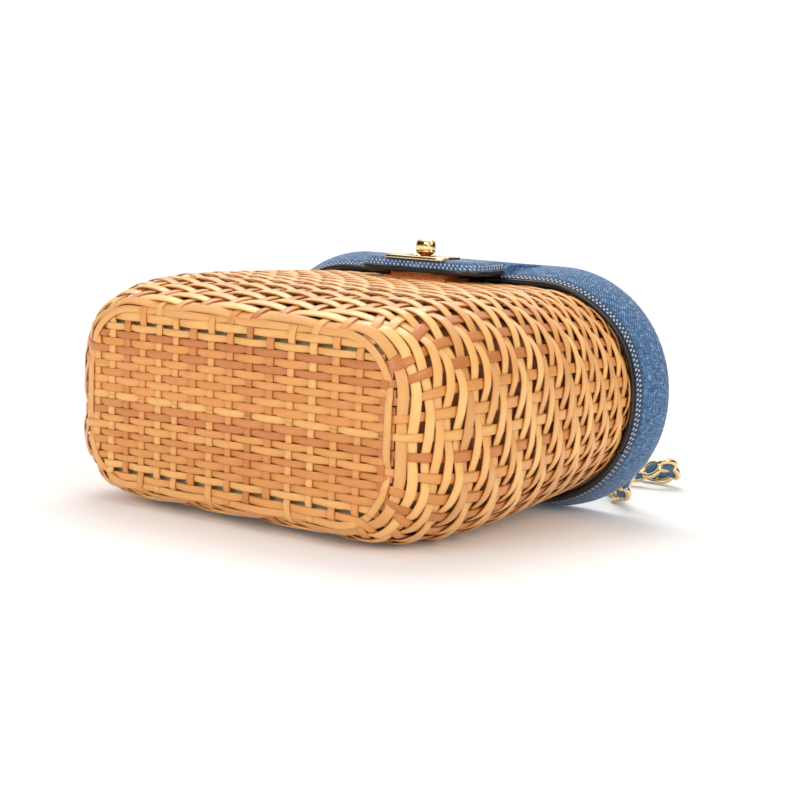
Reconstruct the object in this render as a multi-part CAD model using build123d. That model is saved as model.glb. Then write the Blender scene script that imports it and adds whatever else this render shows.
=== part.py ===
from build123d import *
import math
import os

# Overall sizes, the bag standing on its base: X is width, Y is depth with the front at -Y, Z is height
base_width = 132.0
base_depth = 66.0
base_corner = 20.0
belly_width = 166.0
belly_depth = 85.0
belly_corner = 30.0
belly_height = 49.0
rim_width = 172.6
rim_depth = 80.6
rim_corner = 39.8
rim_tuck = 2.6
basket_top = 146.0
skirt_height = 133.5
wall_thick = 3.0
wall_curve_share = 1.5
wall_samples = 400

# Weave of the basket
weaver_count = 44
tight_pitch = 2.7
edge_lead = 1.9
ease_first = 12
ease_last = 29
front_stake_count = 13
rear_stake_count = 14
float_count = 2
weave_sink = 0.8
corner_steps = 8
inner_count = 12
strip_count = 16
strip_first = -62.4
strip_pitch = 7.0
strip_growth = 0.0965
row_count = 21
base_margin = 3.6
brick_height = 0.8
brick_bite = 0.4
brick_length_share = 1.5
brick_width_share = 0.8
strip_width = 3.0
strip_height = 0.5
gap_rows = 10
gap_first = 4
gap_every = 3
gap_lead = 5
gap_step = 3
front_gap_count = 4
gap_length_share = 0.3
gap_width_share = 0.4
gap_depth = 6.0

# Lining and binding
lining_thick = 0.8
binding_height = 1.2

# Lid
lid_width = 188.0
lid_depth = 96.0
lid_corner = 47.5
lid_flare_side = 5.2
lid_flare_front = 3.4
side_skin_share = 0.6
lid_top = 157.0
lid_round = 6.0
shoulder_shares = ((0.0, 1.0), (0.27, 0.42), (0.6, 0.12), (1.0, 0.0))
cover_thick = 0.9
board_thick = 2.0
cloth_thick = 0.6
edge_height = 1.0
seam_place = 20.0
seam_gap = 0.5
fold_gap = 0.4

# Tongue on the front of the lid
tongue_half = 28.0
tongue_end = 112.0
tongue_corner = 9.0
tongue_inner = 44.2
tongue_outer = 49.4
tongue_top = 145.0
tongue_top_inner = 47.2
tongue_top_outer = 48.3
tongue_low_bend = 128.0
tongue_skirt_inner = 44.95
tongue_skirt_bend = 132.9
tongue_high_bend = 138.0
tongue_edge_width = 0.8

# Turn-lock
lock_height = 121.0
plate_width = 36.0
plate_height = 16.0
plate_drop = 2.0
plate_thick = 1.2
plate_corner = 6.0
slot_width = 12.4
slot_up = 2.6
slot_down = 6.2
slot_corner = 2.5
patch_half = 14.5
patch_low = 113.0
patch_high = 131.0
patch_thick = 1.0
patch_seat = 0.1
seat_width = 28.0
seat_height = 12.0
seat_thick = 1.5
seat_corner = 4.0
collar_radius = 3.5
collar_thick = 0.5
lock_play = 0.3
neck_radius = 2.0
knob_length = 9.0
knob_width = 4.4
knob_height = 5.6
knob_round = 2.0
knob_lift = 0.5
screw_radius = 1.0
screw_head = 1.7
screw_head_height = 0.3
screw_place = 8.0
backing_thick = 1.0

# Chain strap and its rings
ring_place_x = 78.0
ring_place_y = 20.0
post_radius = 3.5
post_height = 0.8
arch_radius = 3.2
wire_radius = 0.8
ring_radius = 5.0
chain_radius = 2.6
floor_gap = 0.8
layer_step = 6.0
layer_rise_share = 1.5
back_step_share = 3.0
bend_share = 0.45

os.makedirs("parts", exist_ok=True)
skin = cover_thick + board_thick + cloth_thick
panel_under = lid_top - skin


def blend(low, high, share):
    return tuple(a + (b - a) * share for a, b in zip(low, high))


# Wall outline at a height: a quarter ellipse from the base out to the belly, then an easy curve to the rim
def wall_size(height):
    base = (base_width, base_depth, base_corner)
    belly = (belly_width, belly_depth, belly_corner)
    rim = (rim_width, rim_depth, rim_corner)
    if height < belly_height:
        left = 1 - height / belly_height
        return blend(base, belly, math.sqrt(1 - left * left))
    share = min((height - belly_height) / (skirt_height - belly_height), 1)
    width, depth, corner = blend(belly, rim, share ** wall_curve_share)
    tuck = rim_tuck * max(0, height - skirt_height) / (basket_top - skirt_height)
    return width - 2 * tuck, depth - 2 * tuck, corner - tuck


# Rounded rectangle as a ring of points, each corner a quarter circle
def outline_points(size, inset, height):
    width, depth, corner = size
    across = width / 2 - corner
    along = depth / 2 - corner
    radius = corner - inset
    points = []
    for quarter, (sx, sy) in enumerate(((1, 1), (-1, 1), (-1, -1), (1, -1))):
        for step in range(corner_steps + 1):
            angle = math.radians(90 * (quarter + step / corner_steps))
            x = sx * across + radius * math.cos(angle)
            y = sy * along + radius * math.sin(angle)
            points.append((x, y, height))
    return points


def ring_face(size, inset, height):
    return make_face(Polyline(*outline_points(size, inset, height), close=True))


# Heights up the wall, close together near the base, with the length of its curve up to each
def wall_table(start, end):
    heights = [start + (end - start) * (i / wall_samples) ** 2 for i in range(wall_samples + 1)]
    lengths = [0]
    for low, high in zip(heights, heights[1:]):
        step = math.hypot(high - low, (wall_size(high)[0] - wall_size(low)[0]) / 2)
        lengths.append(lengths[-1] + step)
    return heights, lengths


# Height at which the curve of the wall has a length
def height_along(table, wanted):
    heights, lengths = table
    spot = 0
    while spot < wall_samples - 1 and lengths[spot + 1] < wanted:
        spot += 1
    share = (wanted - lengths[spot]) / (lengths[spot + 1] - lengths[spot])
    return heights[spot] + (heights[spot + 1] - heights[spot]) * min(share, 1)


# Smooth wall in steps of equal length along its curve
def wall_block(inset, start, end, count):
    table = wall_table(start, end)
    heights = [height_along(table, table[1][-1] * i / count) for i in range(count + 1)]
    return loft([ring_face(wall_size(h), inset, h) for h in heights], ruled=True)


# Point of a rounded rectangle at a place counted in quarters of its length from the middle of the front
def outline_place(size, inset, place):
    half_width = size[0] / 2 - inset
    half_depth = size[1] / 2 - inset
    corner = size[2] - inset
    across = half_width - corner
    arc = corner * math.pi / 2
    quarter = int(place) % 4
    share = 1 - place % 1 if quarter % 2 else place % 1
    run = share * (across + arc + half_depth - corner)
    angle = min(max((run - across) / corner, 0), math.pi / 2)
    x = min(run, across) + corner * math.sin(angle)
    y = half_depth - corner * (1 - math.cos(angle)) - max(run - across - arc, 0)
    return (x if quarter < 2 else -x), (-y if quarter in (0, 3) else y)


# Weavers lie closest at the rim: the step between them eases from a wide one at the base to the tight pitch
def ease(share):
    share = min(max(share, 0), 1)
    return share * share * (3 - 2 * share)


whole_table = wall_table(0, basket_top)
ease_span = ease_last - ease_first
step_shares = [1 - ease((number - ease_first) / ease_span) for number in range(weaver_count)]
spare_length = (whole_table[1][-1] + edge_lead - tight_pitch * weaver_count) / sum(step_shares)
weaver_ends = []
weaver_heights = []
reached = -edge_lead
for step_share in step_shares:
    step = tight_pitch + spare_length * step_share
    weaver_heights.append(height_along(whole_table, reached + step / 2))
    reached += step
    weaver_ends.append(height_along(whole_table, reached))

# Places of the stakes round the outline, with one stake in the middle of each end of the bag
front_step = 2 / (2 * front_stake_count + 1)
rear_step = 2 / (2 * rear_stake_count + 1)
right_stakes = [front_step * (k + 1 / 2) for k in range(front_stake_count + 1)]
right_stakes += [1 + rear_step * (k + 1) for k in range(rear_stake_count)]
stakes = right_stakes + [4 - place for place in reversed(right_stakes)]


# Ring with a point on each stake and one between stakes, sunk for each of the two that is outside the weaver
def weave_face(height, depths):
    size = wall_size(height)
    points = []
    for here, after, depth in zip(stakes, stakes[1:] + [4 + stakes[0]], depths):
        points.append((*outline_place(size, 0, here), height))
        points.append((*outline_place(size, depth, (here + after) / 2), height))
    return make_face(Polyline(*points, close=True))


def stake_outside(weaver, stake):
    return (weaver - stake) % (2 * float_count) < float_count


# Woven wall: a twill of weavers that pass over two stakes and under two, one stake further on at each row,
# with the first weaver along the base edge itself
even_depths = [0] * len(stakes)
weave_faces = [weave_face(0, even_depths)]
for weaver, height in list(enumerate(weaver_heights))[1:]:
    outside = [stake_outside(weaver, k) + stake_outside(weaver, k + 1) for k in range(len(stakes))]
    weave_faces.append(weave_face(height, [weave_sink * count for count in outside]))
weave_faces.append(weave_face(basket_top, even_depths))
woven_block = loft(weave_faces, ruled=True)
cavity = wall_block(wall_thick, wall_thick, basket_top, inner_count)
basket = woven_block - cavity

# Base weave: rows along the width pass over every second crosswise strip
row_pitch = (base_depth - 2 * base_margin) / row_count
row_places = [(i - (row_count - 1) / 2) * row_pitch for i in range(row_count)]
strip_places = [strip_first + k * strip_pitch + k * (k - 1) * strip_growth for k in range(strip_count)]
reach_x = base_width / 2 - base_corner
reach_y = base_depth / 2 - base_corner


def inside_base(x, y):
    over_x = max(abs(x) - reach_x, 0)
    over_y = max(abs(y) - reach_y, 0)
    return math.hypot(over_x, over_y) < base_corner - weave_sink


base_bits = []
for x in strip_places:
    far = max(y for y in row_places if inside_base(abs(x) + strip_width / 2, abs(y) + row_pitch / 2))
    block = Box(strip_width, 2 * far + row_pitch, strip_height + brick_bite)
    base_bits.append(Pos(x, 0, (brick_bite - strip_height) / 2) * block)
brick_deep = row_pitch * brick_width_share
for row, y in enumerate(row_places):
    for column, x in enumerate(strip_places):
        brick_half = (strip_pitch + 2 * column * strip_growth) * brick_length_share / 2
        if (row + column) % 2 == 0 and inside_base(abs(x) + brick_half, abs(y) + brick_deep / 2):
            block = Box(2 * brick_half, brick_deep, brick_height + brick_bite)
            base_bits.append(Pos(x, y, (brick_bite - brick_height) / 2) * block)
basket = basket.fuse(*base_bits)

# Gaps of the weave that show right through the front, the rear and the two ends, between weavers and stakes
gap_bits = []
gap_length = strip_pitch * gap_length_share
for row, height in enumerate(weaver_ends[gap_first:gap_first + gap_every * gap_rows:gap_every]):
    size = wall_size(height)
    tall = (basket_top / weaver_count) * gap_width_share
    long_cutter = Box(gap_length, gap_depth, tall)
    end_cutter = Box(gap_depth, gap_length, tall)
    for k in range(front_gap_count):
        count = gap_step * k - gap_lead + row % 2
        for place in (4 + count * front_step, 2 + count * rear_step):
            x, y = outline_place(size, 0, place)
            gap_bits.append(Pos(x, y, height) * long_cutter)
    for place in (1 - front_step / 2, 1 + rear_step / 2, 3 - rear_step / 2, 3 + front_step / 2):
        x, y = outline_place(size, 0, place)
        gap_bits.append(Pos(x, y, height) * end_cutter)
basket = basket.cut(*gap_bits)

# Holes for the screws of the lock, through the wall and the lining
patch_face = max(wall_size(patch_low)[1], wall_size(patch_high)[1]) / 2
seat_back = patch_face + patch_thick
seat_front = seat_back + seat_thick
to_front = Rot(90, 0, 0)


def along_front(x, z, inner, outer, shape):
    return Pos(x, -inner, z) * to_front * extrude(shape, outer - inner)


inner_face = wall_size(lock_height + seat_height)[1] / 2 - wall_thick - lining_thick
backing_inner = inner_face - backing_thick
screw_sides = (-screw_place, screw_place)
holes = [along_front(x, lock_height, backing_inner, seat_front, Circle(screw_radius)) for x in screw_sides]
basket = basket.cut(*holes)

# Lining inside the weave, open at the top
lining_outer = wall_block(wall_thick, wall_thick, basket_top, inner_count)
lining_inner = wall_block(wall_thick + lining_thick, wall_thick + lining_thick, basket_top, inner_count)
lining = (lining_outer - lining_inner).cut(*holes)
binding_ring = extrude(ring_face(wall_size(basket_top), 0, basket_top), binding_height)
binding_inset = wall_thick + lining_thick
binding_hole = extrude(ring_face(wall_size(basket_top), binding_inset, basket_top), binding_height)
binding = binding_ring - binding_hole


# Lid block at an inset from its outside: flared skirt, then a rounded shoulder up to the top
def lid_block(inset):
    side_pull = lid_flare_side + inset * side_skin_share
    front_pull = lid_flare_front + inset
    low = RectangleRounded(
        lid_width - 2 * side_pull,
        lid_depth - 2 * front_pull,
        lid_corner - (lid_flare_side + lid_flare_front) / 2 - inset,
    )
    faces = [Pos(0, 0, skirt_height) * low]
    for side_share, drop_share in shoulder_shares:
        pull = inset + side_share * lid_round
        face = RectangleRounded(lid_width - 2 * pull, lid_depth - 2 * pull, lid_corner - pull)
        faces.append(Pos(0, 0, lid_top - inset - drop_share * lid_round) * face)
    return loft(faces, ruled=True)


def zone(y_low, y_high, z_low, z_high, half_width=lid_width):
    middle = ((y_low + y_high) / 2, (z_low + z_high) / 2)
    return Pos(0, middle[0], middle[1]) * Box(2 * half_width, y_high - y_low, z_high - z_low)


blocks = [lid_block(0), lid_block(cover_thick), lid_block(cover_thick + board_thick), lid_block(skin)]
edge_top = skirt_height + edge_height
rear_cut = zone(seam_place, lid_depth, 0, panel_under)
upper_zone = zone(-lid_depth, lid_depth, edge_top, lid_top + lid_round)
edge_zone = zone(-lid_depth, lid_depth, 0, edge_top)
lid_cover = ((blocks[0] - blocks[1]) & upper_zone) - rear_cut
lid_board = ((blocks[1] - blocks[2]) & upper_zone) - rear_cut
lid_lining = ((blocks[2] - blocks[3]) & upper_zone) - rear_cut
lid_edge = ((blocks[0] - blocks[3]) & edge_zone) - rear_cut

# Rear part of the skirt, filled in to the basket so that it is fixed there
rear_top = panel_under - fold_gap
rear_zone = zone(seam_place + seam_gap, lid_depth, edge_top, rear_top)
rear_edge_zone = zone(seam_place + seam_gap, lid_depth, skirt_height, edge_top)
rear_cover = (blocks[0] - blocks[1]) & rear_zone
crest_block = loft([weave_face(h, even_depths) for h in (skirt_height, basket_top)], ruled=True)
crest_cap = extrude(ring_face(wall_size(basket_top), 0, basket_top), lid_top - basket_top)
rear_fill = (blocks[1] - crest_block) - crest_cap
rear_core = rear_fill & rear_zone
rear_edge = (blocks[0] - crest_block) & rear_edge_zone

# Tongue: a padded flap over the front of the skirt, cut to a plan with rounded lower corners
tongue_profile = make_face(
    Polyline(
        (0, -tongue_top_outer, tongue_top),
        (0, -tongue_outer, tongue_high_bend),
        (0, -tongue_outer, tongue_end),
        (0, -tongue_inner, tongue_end),
        (0, -tongue_inner, tongue_low_bend),
        (0, -tongue_skirt_inner, tongue_skirt_bend),
        (0, -tongue_top_inner, tongue_top),
        close=True,
    )
)
tongue_block = Pos(-tongue_half, 0, 0) * extrude(tongue_profile, 2 * tongue_half, dir=(1, 0, 0))


def tongue_plan(inset):
    tall = 2 * (tongue_top - tongue_end)
    plan = RectangleRounded(2 * (tongue_half - inset), tall - 2 * inset, tongue_corner - inset)
    return along_front(0, tongue_top, 0, lid_depth, plan)


slot_tall = slot_up + slot_down
slot_middle = lock_height + (slot_up - slot_down) / 2
slot = along_front(0, slot_middle, 0, lid_depth, RectangleRounded(slot_width, slot_tall, slot_corner))
tongue_edge = (tongue_block & tongue_plan(0)) - tongue_plan(tongue_edge_width)
front_tongue = (tongue_block & tongue_plan(tongue_edge_width)) - slot

# Slotted plate on the tongue
plate_plan = RectangleRounded(plate_width, plate_height, plate_corner)
plate_front = tongue_outer + plate_thick
lock_plate = along_front(0, lock_height - plate_drop, tongue_outer, plate_front, plate_plan) - slot

# Leather patch and lock seat on the basket, the seat hollowed behind for the knob's collar
patch_profile = make_face(
    Polyline(
        (0, -wall_size(patch_low)[1] / 2 - patch_seat, patch_low),
        (0, -seat_back, patch_low),
        (0, -seat_back, patch_high),
        (0, -wall_size(patch_high)[1] / 2 - patch_seat, patch_high),
        close=True,
    )
)
lock_patch = Pos(-patch_half, 0, 0) * extrude(patch_profile, 2 * patch_half, dir=(1, 0, 0))
lock_patch = lock_patch.cut(*holes)
collar_front = seat_back + lock_play + collar_thick
seat_plan = RectangleRounded(seat_width, seat_height, seat_corner)
lock_base = along_front(0, lock_height, seat_back, seat_front, seat_plan)
recess = Circle(collar_radius + lock_play)
lock_base -= along_front(0, lock_height, seat_back, collar_front + lock_play, recess)
lock_base -= along_front(0, lock_height, seat_back, seat_front, Circle(neck_radius + lock_play))
lock_base = lock_base.cut(*holes)
backing_plan = RectangleRounded(seat_width, seat_height, seat_corner)
lock_backing = along_front(0, lock_height, backing_inner, inner_face, backing_plan).cut(*holes)
lock_screws = []
for x, shank in zip(screw_sides, holes):
    top = seat_front + screw_head_height
    lock_screws.append(shank + along_front(x, lock_height, seat_front, top, Circle(screw_head)))

# Knob: rounded bar on a neck, with the collar that turns in the seat
knob_foot = plate_front + knob_lift
knob_top = knob_foot + knob_height
knob_bar = along_front(0, lock_height, knob_foot, knob_top, Rectangle(knob_length, knob_width))
knob_bar = fillet(knob_bar.edges().filter_by(Axis.Y), knob_round)
knob_bar = fillet(knob_bar.faces().sort_by(Axis.Y)[0].edges(), knob_round / 2)
neck = along_front(0, lock_height, seat_back + lock_play, knob_foot + knob_round, Circle(neck_radius))
collar = along_front(0, lock_height, seat_back + lock_play, collar_front, Circle(collar_radius))
lock_knob = knob_bar + neck + collar

# Posts on the lid top, each with an arch that holds a ring
ring_posts = []
chain_rings = []
for side in (-1, 1):
    foot = Pos(side * ring_place_x, ring_place_y, lid_top) * extrude(Circle(post_radius), post_height)
    arch_path = Plane.YZ * CenterArc((0, 0), arch_radius, 0, 180)
    arch = sweep(Plane(arch_path @ 0, z_dir=arch_path % 0) * Circle(wire_radius), arch_path)
    ring_posts.append(foot + Pos(side * ring_place_x, ring_place_y, lid_top + post_height / 2) * arch)
    ring_height = lid_top + post_height + lock_play / 2 + wire_radius + ring_radius
    ring = to_front * Torus(ring_radius, wire_radius)
    chain_rings.append(Pos(side * ring_place_x, ring_place_y, ring_height) * ring)

# Lay-down: the bag rests on its belly and the rear of the lid, the front up
rest_rise = lid_top - lid_round - belly_height
lean = math.degrees(math.atan2((lid_depth - belly_depth) / 2, rest_rise))


# Depth of the floor behind the bag at a height along it
def floor_depth(height):
    return belly_depth / 2 + (height - belly_height) * math.tan(math.radians(lean))


# Chain strap: chosen points, width, rise above the floor in layers and distance behind the lid
route_shares = (
    (0.80, 2.6, 0.42), (0.76, 1.2, 0.62), (0.70, 0.0, 1.02), (0.63, 0.0, 1.55), (0.59, 0.0, 2.10),
    (0.36, 0.0, 2.55), (0.00, 0.0, 2.45), (-0.36, 0.0, 2.60), (-0.62, 0.0, 2.85), (-0.66, 0.0, 3.45),
    (-0.40, 0.0, 3.75), (-0.02, 0.0, 3.60), (0.34, 0.0, 3.75), (0.52, 0.1, 4.10), (0.585, 0.8, 4.25),
    (0.635, 0.7, 4.62), (0.60, 0.0, 5.02), (0.36, 0.0, 5.10), (0.00, 0.0, 4.85), (-0.36, 0.0, 4.95),
    (-0.64, 0.3, 4.70), (-0.68, 1.1, 4.05), (-0.44, 1.2, 3.20), (-0.06, 1.2, 3.05), (0.28, 1.2, 3.15),
    (0.46, 1.2, 2.75), (0.30, 1.2, 1.95), (-0.06, 0.9, 1.60), (-0.42, 0.1, 1.55), (-0.66, 0.0, 1.85),
    (-0.78, 0.4, 1.40), (-0.79, 1.5, 0.75), (-0.80, 2.6, 0.42),
)
route = []
for wide_share, layer_share, back_share in route_shares:
    height = lid_top + back_share * back_step_share * layer_step
    rise = floor_gap + chain_radius + layer_share * layer_step * layer_rise_share
    route.append((wide_share * lid_width / 2, floor_depth(height) - rise, height))
bend_radii = []
for before, here, after in zip(route, route[1:], route[2:]):
    run_in = Vector(*here) - Vector(*before)
    run_out = Vector(*after) - Vector(*here)
    half_turn = math.radians(run_in.get_angle(run_out)) / 2
    shorter = min(run_in.length, run_out.length)
    bend_radii.append(bend_share * shorter / math.tan(half_turn))
chain_path = FilletPolyline(*route, radius=bend_radii)
chain_strap = sweep(Plane(chain_path @ 0, z_dir=chain_path % 0) * Circle(chain_radius), chain_path)

pieces = {
    "wicker_basket": [basket],
    "basket_lining": [lining],
    "rim_binding": [binding],
    "rear_cover": [rear_cover],
    "rear_core": [rear_core],
    "rear_edge": [rear_edge],
    "lid_cover": [lid_cover],
    "lid_board": [lid_board],
    "lid_lining": [lid_lining],
    "lid_edge": [lid_edge],
    "front_tongue": [front_tongue],
    "tongue_edge": [tongue_edge],
    "lock_plate": [lock_plate],
    "lock_patch": [lock_patch],
    "lock_base": [lock_base],
    "lock_screws": lock_screws,
    "lock_backing": [lock_backing],
    "lock_knob": [lock_knob],
    "ring_posts": ring_posts,
    "chain_rings": chain_rings,
    "chain_strap": [chain_strap],
}

# Move to the floor: middle of the bag without its strap over the origin, lowest point at zero
turn = Rot(lean - 90, 0, 0)
boxes = []
for name, shapes in pieces.items():
    if name != "chain_strap":
        boxes += [(turn * shape).bounding_box() for shape in shapes]
middle_x = (min(b.min.X for b in boxes) + max(b.max.X for b in boxes)) / 2
middle_y = (min(b.min.Y for b in boxes) + max(b.max.Y for b in boxes)) / 2
lowest = min(b.min.Z for b in boxes)
place = Pos(-middle_x, -middle_y, -lowest) * turn
for name, shapes in pieces.items():
    laid = [place * shape for shape in shapes]
    export_step(laid[0] if len(laid) == 1 else Compound(children=laid), f"parts/{name}.step")

print("turn", lean - 90, "shift", middle_x, middle_y, lowest)
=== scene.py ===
import math
import bpy
import numpy as np
from mathutils import Matrix, Vector


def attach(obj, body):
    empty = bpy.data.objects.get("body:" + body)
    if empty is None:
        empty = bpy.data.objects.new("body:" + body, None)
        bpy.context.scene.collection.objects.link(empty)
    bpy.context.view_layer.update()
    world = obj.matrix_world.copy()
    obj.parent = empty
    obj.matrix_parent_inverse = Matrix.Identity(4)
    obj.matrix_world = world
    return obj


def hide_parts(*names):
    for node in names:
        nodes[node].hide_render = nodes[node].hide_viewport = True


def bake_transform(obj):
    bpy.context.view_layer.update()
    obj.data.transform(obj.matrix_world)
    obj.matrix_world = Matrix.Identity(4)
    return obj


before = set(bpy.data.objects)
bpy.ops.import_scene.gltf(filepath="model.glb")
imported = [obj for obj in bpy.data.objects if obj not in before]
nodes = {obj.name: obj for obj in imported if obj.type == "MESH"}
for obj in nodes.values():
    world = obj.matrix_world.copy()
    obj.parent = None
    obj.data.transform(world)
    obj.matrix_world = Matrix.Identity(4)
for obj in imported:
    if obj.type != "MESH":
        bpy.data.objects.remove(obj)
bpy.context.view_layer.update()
scene = bpy.context.scene
rng = np.random.default_rng(7)

# the bag is worked out standing up in millimetres, front at -y, then laid on its back as the frame lies
layDown = {"turnDeg": -86.91351074, "shiftY": 84.00765980, "shiftZ": -40.15093682}


# turn about x, shift, and millimetres to metres
def laid(points):
    turn = math.radians(layDown["turnDeg"])
    c, s = math.cos(turn), math.sin(turn)
    p = np.asarray(points, float)
    y = p[..., 1] * c - p[..., 2] * s - layDown["shiftY"]
    z = p[..., 1] * s + p[..., 2] * c - layDown["shiftZ"]
    return np.stack([p[..., 0], y, z], -1) / 1000


def unit(v):
    return v / np.maximum(np.linalg.norm(v, axis=-1, keepdims=True), 1e-12)


def smoothStep(low, high, x):
    t = np.clip((x - low) / (high - low), 0, 1)
    return t * t * (3 - 2 * t)


# length along a line of points, 0 at its start
def runLength(points):
    return np.concatenate([[0], np.cumsum(np.linalg.norm(np.diff(points, axis=0), axis=1))])


# superellipse: half sizes a and b, squarer with a smaller power
def superOval(angle, a, b, power):
    c, s = np.cos(angle), np.sin(angle)
    return np.sign(c) * np.abs(c) ** power * a, np.sign(s) * np.abs(s) ** power * b


# split cane: flat back, nearly flat face with eased edges; bead: a squarish oval
ribbon = {"uvBreadth": 0.004, "beadSides": 14, "beadPower": 0.75}
caneSection = [(0.97, -0.55), (1.0, 0.35), (0.9, 0.82), (0.62, 1.0), (0.0, 1.08),
               (-0.62, 1.0), (-0.9, 0.82), (-1.0, 0.35), (-0.97, -0.55), (0.0, -0.8)]
beadAngle = np.linspace(0, 2 * np.pi, ribbon["beadSides"], endpoint=False) + np.pi / ribbon["beadSides"]
beadSection = np.stack(superOval(beadAngle, 1, 1, ribbon["beadPower"]), -1)


# one smooth mesh object from vertex, face, uv and attribute arrays; uv and attributes are one row per vertex
def makeMesh(name, verts, faces, material, uv=None, extra=None):
    mesh = bpy.data.meshes.new(name)
    mesh.from_pydata(np.asarray(verts).reshape(-1, 3).tolist(), [], np.asarray(faces).tolist())
    loops = np.empty(len(mesh.loops), np.int32)
    mesh.loops.foreach_get("vertex_index", loops)
    if uv is not None:
        layer = mesh.uv_layers.new(name="UVMap")
        layer.data.foreach_set("uv", np.asarray(uv, np.float32).reshape(-1, 2)[loops].ravel())
    for key, values in (extra or {}).items():
        attribute = mesh.attributes.new(key, "FLOAT", "POINT")
        attribute.data.foreach_set("value", np.asarray(values, np.float32).ravel())
    mesh.polygons.foreach_set("use_smooth", np.full(len(mesh.polygons), True))
    mesh.materials.append(material)
    mesh.update()
    obj = bpy.data.objects.new(name, mesh)
    scene.collection.objects.link(obj)
    return obj


# quads of a rows by columns grid of vertices, closed round the columns if asked
def gridFaces(rows, columns, closeColumns=False):
    index = np.arange(rows * columns).reshape(rows, columns)
    if closeColumns:
        index = np.concatenate([index, index[:, :1]], 1)
    a, b, c, d = index[:-1, :-1], index[:-1, 1:], index[1:, 1:], index[1:, :-1]
    return np.stack([a, b, c, d], -1).reshape(-1, 4)


# ribbons: each path carries a section, width across the path and thickness along its normal
def ribbonArrays(path, normal, width, thick, section):
    count, steps = path.shape[:2]
    along = unit(np.gradient(path, axis=1))
    across = unit(np.cross(normal, along))
    up = np.cross(along, across)
    ax, ay = np.array(section).T
    sides = len(ax)
    width = np.broadcast_to(np.asarray(width, float), (count, steps))
    thick = np.broadcast_to(np.asarray(thick, float), (count, steps))
    verts = (path[:, :, None] + across[:, :, None] * (ax * width[..., None] / 2)[..., None]
             + up[:, :, None] * (ay * thick[..., None] / 2)[..., None])
    ring = gridFaces(steps, sides, True)[:, ::-1]
    faces = (ring[None] + (np.arange(count) * steps * sides)[:, None, None]).reshape(-1, 4)
    stretch = np.linalg.norm(np.diff(path, axis=1), axis=2)
    length = np.concatenate([np.zeros((count, 1)), np.cumsum(stretch, 1)], 1)
    uv = np.stack(np.broadcast_arrays(length[..., None] / 1000, (ax / 2 + 0.5) * ribbon["uvBreadth"]), -1)
    return verts, faces, uv


# keep only the vertices that the chosen faces use
def trimmed(verts, faces, uv, extra):
    used, inverse = np.unique(faces, return_inverse=True)
    kept = {key: values.ravel()[used] for key, values in extra.items()}
    return verts.reshape(-1, 3)[used], inverse.reshape(faces.shape), uv.reshape(-1, 2)[used], kept


def addNode(tree, kind, values=None, **settings):
    n = tree.nodes.new(kind)
    for key, value in settings.items():
        setattr(n, key, value)
    for key, value in (values or {}).items():
        n.inputs[key].default_value = value
    return n


def maths(tree, operation, a, b=None, clamp=False):
    n = tree.nodes.new("ShaderNodeMath")
    n.operation = operation
    n.use_clamp = clamp
    for socket, value in zip(n.inputs, (a, b)):
        if isinstance(value, (int, float)):
            socket.default_value = value
        elif value is not None:
            tree.links.new(value, socket)
    return n.outputs[0]


# value times gain plus add
def linear(tree, value, gain, add):
    return maths(tree, "ADD", maths(tree, "MULTIPLY", value, gain), add)


# what value has past low, times gain, kept from 0 to 1
def past(tree, value, low, gain):
    return maths(tree, "MULTIPLY", maths(tree, "SUBTRACT", value, low), gain, True)


# sum of values, each times its weight
def weighted(tree, *pairs):
    parts = [maths(tree, "MULTIPLY", value, weight) for value, weight in pairs]
    whole = parts[0]
    for part in parts[1:]:
        whole = maths(tree, "ADD", whole, part)
    return whole


def mixColour(tree, factor, a, b, mode="MIX"):
    n = tree.nodes.new("ShaderNodeMix")
    n.data_type = "RGBA"
    n.blend_type = mode
    for socket, value in ((n.inputs[0], factor), (n.inputs[6], a), (n.inputs[7], b)):
        if isinstance(value, (int, float, tuple)):
            socket.default_value = value
        else:
            tree.links.new(value, socket)
    return n.outputs[2]


def ramp(tree, factor, stops):
    n = tree.nodes.new("ShaderNodeValToRGB")
    elements = n.color_ramp.elements
    while len(elements) < len(stops):
        elements.new(0.5)
    for element, (place, colour) in zip(elements, stops):
        element.position = place
        element.color = colour
    tree.links.new(factor, n.inputs[0])
    return n.outputs[0]


# noise stretched by a scale of its own along u and along v
def streakNoise(tree, u, v, uScale, vScale, detail, roughness):
    place = addNode(tree, "ShaderNodeCombineXYZ")
    tree.links.new(maths(tree, "MULTIPLY", u, uScale), place.inputs[0])
    tree.links.new(maths(tree, "MULTIPLY", v, vScale), place.inputs[1])
    noise = addNode(tree, "ShaderNodeTexNoise", {"Scale": 1.0, "Detail": detail, "Roughness": roughness})
    tree.links.new(place.outputs[0], noise.inputs["Vector"])
    return noise.outputs[0]


def uvParts(tree):
    uv = addNode(tree, "ShaderNodeUVMap", uv_map="UVMap")
    split = addNode(tree, "ShaderNodeSeparateXYZ")
    tree.links.new(uv.outputs[0], split.inputs[0])
    return split.outputs[0], split.outputs[1]


def addBump(tree, shader, height, strength, distance):
    bump = addNode(tree, "ShaderNodeBump", {"Strength": strength, "Distance": distance})
    tree.links.new(height, bump.inputs["Height"])
    tree.links.new(bump.outputs[0], shader.inputs["Normal"])


def newMaterial(name, **plain):
    material = bpy.data.materials.new(name)
    material.use_nodes = True
    tree = material.node_tree
    shader = tree.nodes["Principled BSDF"]
    for key, value in plain.items():
        shader.inputs[key].default_value = value
    return material, tree, shader


# sRGB fractions to a linear colour
def tint(r, g, b):
    return tuple(c / 12.92 if c <= 0.04045 else ((c + 0.055) / 1.055) ** 2.4 for c in (r, g, b)) + (1.0,)


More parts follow.
